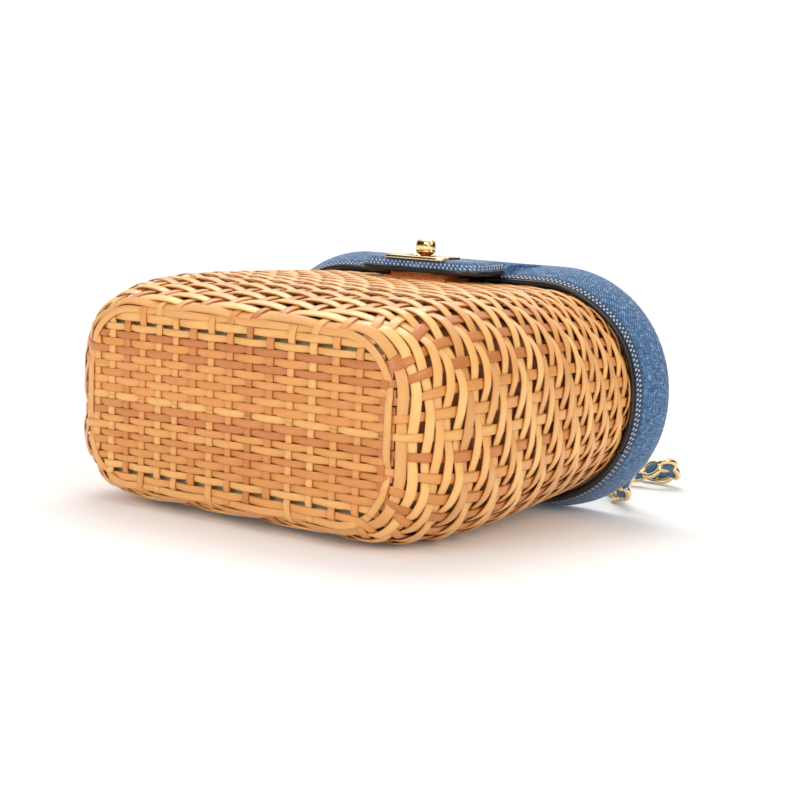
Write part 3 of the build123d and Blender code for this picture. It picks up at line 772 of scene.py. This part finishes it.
# lid top: the shoulder outline drawn in to the middle with a low crown, and a fan round the middle point
shrink = (1 - np.linspace(0, 1, lid["topRows"])[1:-1])[:, None]
topX, topY = lidX[-1][None] * shrink, lidY[-1][None] * shrink
topZ = lid["top"] + lid["crown"] * (1 - shrink ** 2) + 0 * topX
topVerts = np.concatenate([shellVerts[-1:], np.stack([topX, topY, topZ], -1)])
topFaces = gridFaces(*topVerts.shape[:2])
lidTop = makeMesh("lidTop", laid(topVerts), topFaces, denimPlain, topVerts[..., :2] / 1000)
dress(lidTop, "lid")
hubVerts = np.concatenate([topVerts[-1], [[0, 0, lid["top"] + lid["crown"]]]])
hubRim = np.arange(len(hubVerts) - 2)
hubFaces = np.stack([hubRim, hubRim + 1, np.full(len(hubRim), len(hubVerts) - 1)], -1)
lidMiddle = makeMesh("lidMiddle", laid(hubVerts), hubFaces, denimPlain, hubVerts[:, :2] / 1000)
dress(lidMiddle, "lid")

# painted edge: a bead under the skirt, from the denim's border in to the cane
bead = {"sideOut": 5.9, "sideIn": 7.4, "frontOut": 3.5, "frontIn": 6.3, "rise": 0.45, "drawOut": 1.0,
        "drawInner": 0.3, "rearSteps": 160}


def edgeBead(name, q):
    ox, oy = lidOutline(q, bead["sideOut"], bead["frontOut"])
    ix, iy = lidOutline(q, bead["sideIn"], bead["frontIn"])
    oy, iy = drawnIn(oy, bead["drawOut"]), drawnIn(iy, bead["drawInner"])
    level = np.full_like(ox, lid["skirt"] + lid["edgeHeight"] * bead["rise"])
    path = np.stack([(ox + ix) / 2, (oy + iy) / 2, level], -1)[None]
    normal = np.broadcast_to([0.0, 0.0, 1.0], path.shape)
    width = np.hypot(ox - ix, oy - iy)[None]
    verts, faces, uv = ribbonArrays(path, normal, width, lid["edgeHeight"], beadSection)
    return makeMesh(name, laid(verts), faces, edgePaint, uv)


frontColumns = np.flatnonzero(lidY[0] <= lid["seam"])
lidEdge = edgeBead("lidEdge", lidQ[frontColumns])
dress(lidEdge, "lid", ["lid_edge"])
rearQ = np.linspace(lidQ[frontColumns[-1] + 1] - 4, lidQ[frontColumns[0] - 1], bead["rearSteps"])
rearEdge = edgeBead("rearEdge", rearQ)
dress(rearEdge, "basket", ["rear_edge"])
print("lid ready")

# lock sizes; the slot goes through plate and tongue
lock = {"height": 121.0, "plateWidth": 31.0, "plateHeight": 15.0, "plateHollow": 0.22, "plateDrop": 2.0,
        "plateFace": 50.5, "plateBack": 49.3, "platePower": 0.32, "slotWidth": 12.4, "slotUp": 2.6,
        "slotDown": 6.2, "slotPower": 0.5, "columns": 97}
slotHalf = (lock["slotUp"] + lock["slotDown"]) / 2
slotMiddle = (lock["slotUp"] - lock["slotDown"]) / 2

# tongue: a stiffened flap over the front of the skirt; heights on the standing bag, distances to the front
tongue = {"half": 28.0, "end": 112.0, "corner": 9.0, "start": 148.0, "outer": 49.4, "inner": 44.2,
          "roll": 3.4, "drop": 3.5, "flare": 10.0, "free": 131.0, "easeFrom": 132.0, "easeIn": 1.4,
          "overSkirt": 0.15, "firmEnd": 144, "plainFrom": 134, "plainTo": 142, "plainAway": 9,
          "cornerRows": 18, "sideRows": 34, "columns": 71, "uvShift": 0.3, "foldFace": 48.0,
          "foldTop": 147.0, "foldLow": 141.0, "faceCut": 1.3,
          "sideSteps": 7, "sideSeat": 0.3, "sideNarrow": 0.012, "backTop": 132.0, "backInset": 0.5,
          "backUv": 0.026, "backCut": 1.1, "paint": 1.7, "paintWide": 1.5, "paintOver": 0.3,
          "paintTop": 134.0, "paintSide": 24, "paintTurn": 16, "paintFlat": 30}
flatHalf = tongue["half"] - tongue["corner"]
cornerZ = tongue["end"] + tongue["corner"]


# half width by height: a quarter circle, then straight, then a flare to the start
def tongueHalf(z):
    low = np.clip(tongue["corner"] - (z - tongue["end"]), 0, tongue["corner"])
    rounded = flatHalf + np.sqrt(np.clip(tongue["corner"] ** 2 - low ** 2, 0, None))
    return rounded + tongue["flare"] * smoothStep(tongue["free"], tongue["start"], z) ** 2


# face of the skirt under the tongue
def skirtFace(z):
    return lid["depth"] / 2 - (lid["flareFront"] + lid["drawFront"]) * pullIn(z)


# outer face: over the lock, easing in to the skirt's face at its start
def tongueOut(z):
    easing = tongue["easeIn"] * smoothStep(tongue["easeFrom"], tongue["start"], z)
    return np.maximum(skirtFace(z) + tongue["overSkirt"], tongue["outer"] - easing)


turnLow = np.linspace(0, np.pi / 2, tongue["cornerRows"])
straightZ = np.linspace(cornerZ, tongue["start"], tongue["sideRows"])[1:]
zLine = np.concatenate([tongue["end"] + tongue["corner"] * (1 - np.cos(turnLow)), straightZ])
uLine = np.sin(np.linspace(-1, 1, tongue["columns"]) * np.pi / 2)
uGrid, zGrid = np.meshgrid(uLine, zLine)
xGrid = uGrid * tongueHalf(zGrid)
arcX = np.maximum(np.abs(xGrid) - flatHalf, 0)
arcZ = np.maximum(cornerZ - zGrid, 0)
away = np.where(arcZ > 0, tongue["corner"] - np.hypot(arcX, arcZ), tongueHalf(zGrid) - np.abs(xGrid))
away = np.clip(away, 0, None)

# rolled border: a quarter ellipse that drops to the painted edge
rollShare = np.clip(away / tongue["roll"], 0, 1)
fall = 1 - np.sqrt(np.clip(1 - (1 - rollShare) ** 2, 0, 1))
firm = 1 - smoothStep(tongue["free"], tongue["firmEnd"], zGrid)
tongueVerts = np.stack([xGrid, -(tongueOut(zGrid) - tongue["drop"] * fall * firm), zGrid], -1)
tongueUv = np.stack([xGrid / 1000 + tongue["uvShift"], zGrid / 1000], -1)
arcLine = np.arctan2(arcX, arcZ + 1e-6) * tongue["corner"] * np.sign(xGrid)
arcLine = arcLine + np.clip(xGrid, -flatHalf, flatHalf)
borderLine = np.where(arcZ > 0, arcLine, zGrid)
rollArc = np.arccos(1 - rollShare) * (tongue["roll"] + tongue["drop"]) / 2
plain = smoothStep(tongue["plainFrom"], tongue["plainTo"], zGrid) * tongue["plainAway"]
tongueAway = rollArc + np.clip(away - tongue["roll"], 0, None) + plain


# faces left when those inside the slot, a fourth-power oval, are taken out
def slotOpen(verts, faces, reach):
    centre = verts.reshape(-1, 3)[faces].mean(1)
    across = centre[:, 0] / (lock["slotWidth"] / 2)
    upward = (centre[:, 2] - lock["height"] - slotMiddle) / slotHalf
    return faces[across ** 4 + upward ** 4 > reach]


# the tongue's face, with the slot taken out; it eases in to the skirt's face at its start
openFaces = slotOpen(tongueVerts, gridFaces(*xGrid.shape), tongue["faceCut"])
v, f, t, e = trimmed(tongueVerts, openFaces, tongueUv, {"borderAway": tongueAway, "borderAlong": borderLine})
tongueFace = makeMesh("tongueFace", laid(v), f, denimEdged, t, e)
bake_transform(tongueFace)
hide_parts("front_tongue")

# sides of the tongue above its free part: from the face's border in to the skirt
upper = np.flatnonzero(zLine > tongue["free"])
inward = np.linspace(0, 1, tongue["sideSteps"])[:, None]
for name, column, turned in (("tongueSideLeft", 0, 1), ("tongueSideRight", -1, -1)):
    borderX, borderY, borderZ = tongueVerts[upper, column].T
    seat = np.where(borderZ < lid["skirt"], -tongue["inner"], -skirtFace(borderZ) + tongue["sideSeat"])
    sideY = borderY + (np.maximum(seat, borderY) - borderY) * inward
    sideX = borderX * (1 - tongue["sideNarrow"] * np.sin(inward * np.pi / 2))
    sideVerts = np.stack(np.broadcast_arrays(sideX, sideY, borderZ), -1)
    sideFaces = gridFaces(*sideY.shape)[:, ::turned]
    tongueSide = makeMesh(name, laid(sideVerts), sideFaces, denimPlain, sideVerts[..., 1:] / 1000)
    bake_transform(tongueSide)

# back of the tongue and its painted edge, a bead carried round the free sides
uGrid, zGrid = np.meshgrid(uLine, zLine[zLine < tongue["backTop"]])
backX = uGrid * (tongueHalf(zGrid) - tongue["backInset"])
backVerts = np.stack([backX, np.full_like(uGrid, -tongue["inner"]), zGrid], -1)
backUv = np.stack([uGrid * tongue["backUv"], zGrid / 1000], -1)
openFaces = slotOpen(backVerts, gridFaces(*uGrid.shape)[:, ::-1], tongue["backCut"])
v, f, t, e = trimmed(backVerts, openFaces, backUv, {})
tongueBack = makeMesh("tongueBack", laid(v), f, edgePaint, t)
dress(tongueBack, "tongue")
turn = np.linspace(0, np.pi / 2, tongue["paintTurn"])[1:]
sideX = np.full(tongue["paintSide"], tongue["half"])
rightX = np.concatenate([sideX, flatHalf + tongue["corner"] * np.cos(turn)])
sideZ = np.linspace(tongue["paintTop"], cornerZ, tongue["paintSide"])
rightZ = np.concatenate([sideZ, cornerZ - tongue["corner"] * np.sin(turn)])
flatX = np.linspace(rightX[-1], -rightX[-1], tongue["paintFlat"])[1:-1]
lineX = np.concatenate([rightX, flatX, -rightX[::-1]])
lineZ = np.concatenate([rightZ, np.full(len(flatX), tongue["end"]), rightZ[::-1]])
path = np.stack([lineX, np.full_like(lineX, -tongue["inner"] - tongue["paint"] / 2), lineZ], -1)[None]
normal = np.broadcast_to([0.0, 1.0, 0.0], path.shape)
paintThick = tongue["paint"] + tongue["paintOver"]
verts, faces, uv = ribbonArrays(path, normal, tongue["paintWide"], paintThick, beadSection)
tongueEdge = makeMesh("tongueEdge", laid(verts), faces, edgePaint, uv)
dress(tongueEdge, "tongue", ["tongue_edge"])
print("tongue ready")

# turn-lock plate: a ring between the slot and an oblong with hollowed ends; reach goes out, level goes up
angle = np.linspace(0, 2 * np.pi, lock["columns"])
plateReach = np.array([0, 0, 0.03, 0.10, 0.5, 0.9, 0.97, 1.0, 1.0])[:, None]
plateLevel = np.array([0, 0.7, 0.93, 1.0, 1.06, 1.0, 0.93, 0.7, 0])[:, None]
slotX, slotZ = superOval(angle, lock["slotWidth"] / 2, slotHalf, lock["slotPower"])
outX, outZ = superOval(angle, lock["plateWidth"] / 2, lock["plateHeight"] / 2, lock["platePower"])
outX = outX * (1 - lock["plateHollow"] * (1 - (2 * outZ / lock["plateHeight"]) ** 2))
holeZ = slotZ + slotMiddle
px = slotX + (outX - slotX) * plateReach
pz = holeZ + (outZ - lock["plateDrop"] - holeZ) * plateReach + lock["height"]
py = -(lock["plateBack"] + (lock["plateFace"] - lock["plateBack"]) * plateLevel) + 0 * px
plateVerts = laid(np.stack([px, py, pz], -1))
lockPlate = makeMesh("lockPlate", plateVerts, gridFaces(*px.shape)[:, ::-1], paleGold)
dress(lockPlate, "tongue", ["lock_plate"])

# eyelet: the slot's wall through the tongue and a flange on its back
eyeletScale = np.array([1.0, 1.0, 1.02, 1.3, 1.34, 1.34])[:, None]
eyeletBack = tongue["inner"] + np.array([-0.2, -0.35, -0.35, -0.2, 0.3])
eyeletFace = np.concatenate([[lock["plateBack"]], eyeletBack])[:, None]
ex = slotX * eyeletScale
ez = slotZ * eyeletScale + slotMiddle + lock["height"]
eyeletVerts = laid(np.stack([ex, -eyeletFace + 0 * ex, ez], -1))
slotEyelet = makeMesh("slotEyelet", eyeletVerts, gridFaces(*ex.shape), paleGold)
dress(slotEyelet, "tongue")

# knob: superellipse sections from the collar up a waisted neck to a rounded bar
# each row is the distance to the front, half width, half height and power
knobRows = np.array([
    (42.45, 0.01, 0.01, 1), (42.45, 3.4, 3.4, 1), (42.85, 3.4, 3.4, 1), (42.9, 2.0, 2.0, 1),
    (46.0, 1.9, 1.9, 1), (50.0, 1.9, 1.9, 1), (50.6, 2.4, 2.0, 0.95), (51.0, 3.3, 2.4, 0.9),
    (51.4, 3.85, 2.7, 0.85), (52.0, 4.1, 2.85, 0.85), (53.0, 4.2, 2.9, 0.85), (54.0, 4.2, 2.9, 0.85),
    (55.0, 4.15, 2.85, 0.85), (55.9, 3.9, 2.7, 0.85), (56.5, 3.3, 2.3, 0.9), (56.85, 2.2, 1.5, 0.95),
    (56.9, 0.01, 0.01, 1)])
knobFace, knobWide, knobDeep, knobPower = knobRows.T[..., None]
kx, kz = superOval(angle[None], knobWide, knobDeep, knobPower)
knobVerts = laid(np.stack([kx, -knobFace + 0 * kx, kz + lock["height"]], -1))
lockKnob = makeMesh("lockKnob", knobVerts, gridFaces(*kx.shape)[:, ::-1], paleGold)
dress(lockKnob, "knob", ["lock_knob"])
print("lock ready")

# chain strap: the route's points are the spline's control points, as in the part's source
# each row is the share of the half width, the height in steps and the way up the bag in rows
strap = {"layer": 6.0, "rowLayers": 3, "stepLayers": 1.5, "radius": 2.6, "gap": 0.8, "ribbon": 1.9,
         "link": 8.8, "wire": 2.7, "linkLong": 11.0, "pitchShare": 0.66, "aim": 0.002, "rollSpread": 0.15,
         "clear": 0.0002, "ringSides": 20, "wireSides": 8}
routeRows = np.array([
    (0.80, 2.6, 0.42), (0.76, 1.2, 0.62), (0.70, 0.0, 1.02), (0.63, 0.0, 1.55), (0.59, 0.0, 2.10),
    (0.36, 0.0, 2.55), (0.00, 0.0, 2.45), (-0.36, 0.0, 2.60), (-0.62, 0.0, 2.85), (-0.66, 0.0, 3.45),
    (-0.40, 0.0, 3.75), (-0.02, 0.0, 3.60), (0.34, 0.0, 3.75), (0.52, 0.1, 4.10), (0.585, 0.8, 4.25),
    (0.635, 0.7, 4.62), (0.60, 0.0, 5.02), (0.36, 0.0, 5.10), (0.00, 0.0, 4.85), (-0.36, 0.0, 4.95),
    (-0.64, 0.3, 4.70), (-0.68, 1.1, 4.05), (-0.44, 1.2, 3.20), (-0.06, 1.2, 3.05), (0.28, 1.2, 3.15),
    (0.46, 1.2, 2.75), (0.30, 1.2, 1.95), (-0.06, 0.9, 1.60), (-0.42, 0.1, 1.55), (-0.66, 0.0, 1.85),
    (-0.78, 0.4, 1.40), (-0.79, 1.5, 0.75), (-0.80, 2.6, 0.42)])
acrossShare, stepsUp, rowsUp = routeRows.T
bellyDepth = basket["belly"][1]
slope = (lid["depth"] - bellyDepth) / 2 / (lid["top"] - lid["round"] - basket["bellyHeight"])
routeZ = lid["top"] + rowsUp * strap["rowLayers"] * strap["layer"]
floorY = bellyDepth / 2 + (routeZ - basket["bellyHeight"]) * slope
routeY = floorY - (strap["gap"] + strap["radius"] + stepsUp * strap["layer"] * strap["stepLayers"])
route = laid(np.stack([acrossShare * lid["width"] / 2, routeY, routeZ], -1))
curve = bpy.data.curves.new("strapRibbon", "CURVE")
curve.dimensions = "3D"
spline = curve.splines.new("NURBS")
spline.points.add(len(route) - 1)
spline.points.foreach_set("co", np.concatenate([route, np.ones((len(route), 1))], 1).ravel())
spline.order_u = 3
spline.use_endpoint_u = True
spline.resolution_u = 24
ribbonCurve = bpy.data.objects.new("strapRibbon", curve)
scene.collection.objects.link(ribbonCurve)
bpy.context.view_layer.update()
flat = bpy.data.meshes.new_from_object(ribbonCurve.evaluated_get(bpy.context.evaluated_depsgraph_get()))
fineLine = np.empty(len(flat.vertices) * 3, np.float32)
flat.vertices.foreach_get("co", fineLine)
fineLine = fineLine.reshape(-1, 3).astype(float)
strapRun = runLength(fineLine)
strapLength = float(strapRun[-1])
curve.bevel_depth = strap["ribbon"] / 1000
curve.bevel_resolution = 3
curve.materials.append(denimPlain)


# points of the strap at lengths along it
def strapPoint(places):
    return np.stack([np.interp(places, strapRun, fineLine[:, i]) for i in range(3)], -1)


# links: flattened rings spaced along the strap, every second one turned a quarter round it
linkCount = int(strapLength * 1000 / (strap["linkLong"] * strap["pitchShare"]))
places = (np.arange(linkCount) + 0.5) / linkCount * strapLength
ahead = unit(strapPoint(places + strap["aim"]) - strapPoint(places - strap["aim"]))
sideways = unit(np.cross(ahead, [0.0, 0.0, 1.0]) + 1e-6)
upward = np.cross(sideways, ahead)
roll = (np.arange(linkCount) % 2) * np.pi / 2 + np.pi / 4
roll = roll + strap["rollSpread"] * rng.standard_normal(linkCount)
flatAxis = sideways * np.cos(roll)[:, None] + upward * np.sin(roll)[:, None]
thinAxis = np.cross(ahead, flatAxis)
ringAngle = np.linspace(0, 2 * np.pi, strap["ringSides"], endpoint=False)[:, None]
wireAngle = np.linspace(0, 2 * np.pi, strap["wireSides"], endpoint=False)[None]
wire = strap["wire"] / 2
ringLong = (strap["linkLong"] / 2 - wire + wire * np.cos(wireAngle)) * np.cos(ringAngle)
ringWide = (strap["link"] / 2 - wire + wire * np.cos(wireAngle)) * np.sin(ringAngle)
ringThin = wire * np.sin(wireAngle) + 0 * ringLong
axes = np.stack([ahead, flatAxis, thinAxis], 1)
offsets = np.einsum("rwk,lkc->lrwc", np.stack([ringLong, ringWide, ringThin], -1), axes) / 1000
linkVerts = strapPoint(places)[:, None, None] + offsets
linkVerts[..., 2] += np.clip(strap["clear"] - linkVerts[..., 2].min((1, 2)), 0, None)[:, None, None]
corner = np.arange(ringLong.size).reshape(ringLong.shape)
nextRing, nextWire = np.roll(corner, -1, 0), np.roll(corner, -1, 1)
linkFaces = np.stack([corner, nextRing, np.roll(nextRing, -1, 1), nextWire], -1).reshape(-1, 4)
faces = (linkFaces[None] + (np.arange(linkCount) * ringLong.size)[:, None, None]).reshape(-1, 4)
links = makeMesh("strapLinks", linkVerts, faces, paleGold)
dress(links, "lid")
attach(ribbonCurve, "lid")
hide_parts("chain_strap")
print("strap", round(strapLength, 3), "m,", linkCount, "links")

# frame nodes that keep their shape and take a material
stays = {"basket_lining": basketLiningShaded, "rim_binding": denimPlain, "rear_core": fibreBoard,
         "lid_lining": liningCloth, "lock_patch": tanLeather, "lock_base": tanLeather,
         "lock_screws": paleGold, "lock_backing": paleGold, "ring_posts": paleGold, "chain_rings": paleGold}
for name, material in stays.items():
    nodes[name].data.materials.clear()
    nodes[name].data.materials.append(material)

# floor: near the bag it keeps the shadow, farther off it lights up to white for camera, mirrors and glass
studio = {"floor": 0.9, "floorReach": 6, "floorRough": 0.8, "floorShine": 0.1, "lift": 0.06, "farLift": 0.5,
          "liftFrom": 0.2, "liftTo": 1.3, "world": 0.66, "mirrorLow": 0.03, "mirrorHigh": 1.0,
          "topFrom": 0.45, "topGain": 3.0, "cardHeading": (0.555, -0.831), "cardFrom": 0.9, "cardGain": 14.0,
          "backFrom": -0.45, "backGain": 4.0}
floorMesh = bpy.data.meshes.new("floor")
floorCorners = np.array([(-1, -1, 0), (1, -1, 0), (1, 1, 0), (-1, 1, 0)]) * studio["floorReach"]
floorMesh.from_pydata(floorCorners.tolist(), [], [(0, 1, 2, 3)])
floor = bpy.data.objects.new("floor", floorMesh)
scene.collection.objects.link(floor)
floorPaint, tree, shader = newMaterial("floorPaint", Roughness=studio["floorRough"])
shader.inputs["Base Color"].default_value = (studio["floor"],) * 3 + (1,)
shader.inputs["Specular IOR Level"].default_value = studio["floorShine"]
shader.inputs["Emission Color"].default_value = (1, 1, 1, 1)
rays = addNode(tree, "ShaderNodeLightPath").outputs
reflected = maths(tree, "MAXIMUM", rays["Is Glossy Ray"], rays["Is Transmission Ray"])
seen = maths(tree, "MAXIMUM", rays["Is Camera Ray"], reflected)
place = addNode(tree, "ShaderNodeTexCoord")
apart = addNode(tree, "ShaderNodeVectorMath", operation="LENGTH")
tree.links.new(place.outputs["Object"], apart.inputs[0])
farOff = addNode(tree, "ShaderNodeMapRange", {
    "From Min": studio["liftFrom"], "From Max": studio["liftTo"], "To Min": studio["lift"],
    "To Max": studio["farLift"]}, interpolation_type="SMOOTHSTEP")
tree.links.new(apart.outputs["Value"], farOff.inputs["Value"])
tree.links.new(maths(tree, "MULTIPLY", seen, farOff.outputs[0]), shader.inputs["Emission Strength"])
floorMesh.materials.append(floorPaint)

# world: white to the camera, an even level for diffuse light
# mirrors see dark sides, a bright top, a card ahead and the backdrop
world = bpy.data.worlds.new("studio")
scene.world = world
world.use_nodes = True
tree = world.node_tree
background = tree.nodes["Background"]
background.inputs["Color"].default_value = (1, 1, 1, 1)
rays = addNode(tree, "ShaderNodeLightPath").outputs
place = addNode(tree, "ShaderNodeTexCoord")
split = addNode(tree, "ShaderNodeSeparateXYZ")
tree.links.new(place.outputs["Generated"], split.inputs[0])
bright = past(tree, split.outputs[2], studio["topFrom"], studio["topGain"])
mirror = linear(tree, bright, studio["mirrorHigh"] - studio["mirrorLow"], studio["mirrorLow"])
heading = weighted(tree, *zip((split.outputs[0], split.outputs[1]), studio["cardHeading"]))
card = past(tree, heading, studio["cardFrom"], studio["cardGain"])
behind = maths(tree, "SUBTRACT", studio["backFrom"], heading)
backdrop = maths(tree, "MULTIPLY", behind, studio["backGain"], True)
mirror = maths(tree, "MAXIMUM", mirror, maths(tree, "MAXIMUM", card, backdrop))
mirrored = maths(tree, "MULTIPLY", rays["Is Glossy Ray"], maths(tree, "SUBTRACT", mirror, studio["world"]))
level = maths(tree, "ADD", mirrored, studio["world"])
direct = maths(tree, "MAXIMUM", rays["Is Camera Ray"], rays["Is Transmission Ray"])
tree.links.new(maths(tree, "MAXIMUM", level, direct), background.inputs["Strength"])

# soft lamps: place, size, power and colour, all aimed at the bag's middle
lampAim = Vector((0, 0, 0.04))
lamps = {"keyLight": ((-0.30, 0.40, 1.0), (0.7, 0.7), 5.6, (1, 1, 1)),
         "fillLight": ((-0.02, -1.25, 0.55), (0.9, 0.6), 6.0, (1, 1, 1)),
         "rimLight": ((0.9, -0.2, 0.55), (0.5, 0.5), 2.8, (1.0, 0.90, 0.78))}
for name, (place, size, power, colour) in lamps.items():
    light = bpy.data.lights.new(name, "AREA")
    light.shape = "RECTANGLE"
    light.size, light.size_y = size
    light.energy = power
    light.color = colour
    lamp = bpy.data.objects.new(name, light)
    lamp.location = place
    lamp.rotation_euler = (lampAim - Vector(place)).to_track_quat("-Z", "Y").to_euler()
    scene.collection.objects.link(lamp)

# camera: place, heading, height angle and roll worked out from the photo's lines; lengths in its pixels
shot = {"place": (0.3573, -0.5345, 0.1084), "azimuth": 34.99, "elevation": 6.25, "roll": 3.86,
        "focalPixels": 1676.4, "shiftX": 68.45, "shiftY": 4.09, "pixels": 800, "sensor": 36.0, "clip": 0.01}
cameraData = bpy.data.cameras.new("shotCamera")
camera = bpy.data.objects.new("shotCamera", cameraData)
scene.collection.objects.link(camera)
az, el, ro = (math.radians(shot[k]) for k in ("azimuth", "elevation", "roll"))
forward = np.array([-math.sin(az) * math.cos(el), math.cos(az) * math.cos(el), -math.sin(el)])
right = np.array([math.cos(az), math.sin(az), 0])
up = np.array([-math.sin(az) * math.sin(el), math.cos(az) * math.sin(el), math.cos(el)])
rolledRight = right * math.cos(ro) + up * math.sin(ro)
rolledUp = up * math.cos(ro) - right * math.sin(ro)
pose = np.eye(4)
pose[:3] = np.stack([rolledRight, rolledUp, -forward, shot["place"]], 1)
camera.matrix_world = Matrix(pose.tolist())
cameraData.sensor_width = shot["sensor"]
cameraData.lens = shot["sensor"] * shot["focalPixels"] / shot["pixels"]
cameraData.shift_x = shot["shiftX"] / shot["pixels"]
cameraData.shift_y = shot["shiftY"] / shot["pixels"]
cameraData.clip_start = shot["clip"]
scene.camera = camera

scene.view_settings.view_transform = "Standard"
